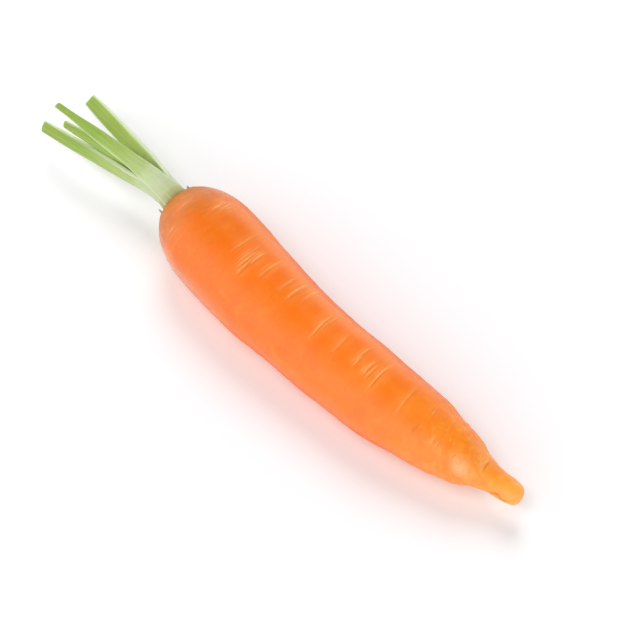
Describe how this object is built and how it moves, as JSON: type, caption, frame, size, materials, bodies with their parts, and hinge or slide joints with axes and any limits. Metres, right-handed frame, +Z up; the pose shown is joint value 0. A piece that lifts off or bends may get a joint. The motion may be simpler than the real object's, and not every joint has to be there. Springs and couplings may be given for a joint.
{
  "type": "carrot",
  "caption": "Fresh carrot lying on its side: an orange tapered root with a blunt tip and a rosette of short trimmed leaf stalks on its crown.",
  "frame": {"origin": "on the surface that the carrot lies on, under the middle of its bounding box", "axes": "+X along the root from the leaf stalks towards the tip, +Z up; the root bows sideways, so that its middle lies towards -Y"},
  "size_m": [0.2576, 0.0418, 0.0396],
  "materials": {
    "carrot_skin": "smooth washed carrot skin, slightly waxy, saturated orange with paler cross marks",
    "leaf_stalk": "fresh ribbed leaf stalk, satin, whitish at the base and green towards the cut end",
    "withered_scale": "dry papery leaf remnant, matte cream to grey brown"
  },
  "bodies": {
    "root": {"root": "carrot_skin", "leaf_stalk_lower": "leaf_stalk", "leaf_stalk_front": "leaf_stalk", "leaf_stalk_upper": "leaf_stalk", "leaf_stalk_short": "leaf_stalk", "leaf_stalk_heart": "leaf_stalk", "leaf_scale_upper": "withered_scale", "leaf_scale_lower": "withered_scale"}
  },
  "joints": []
}
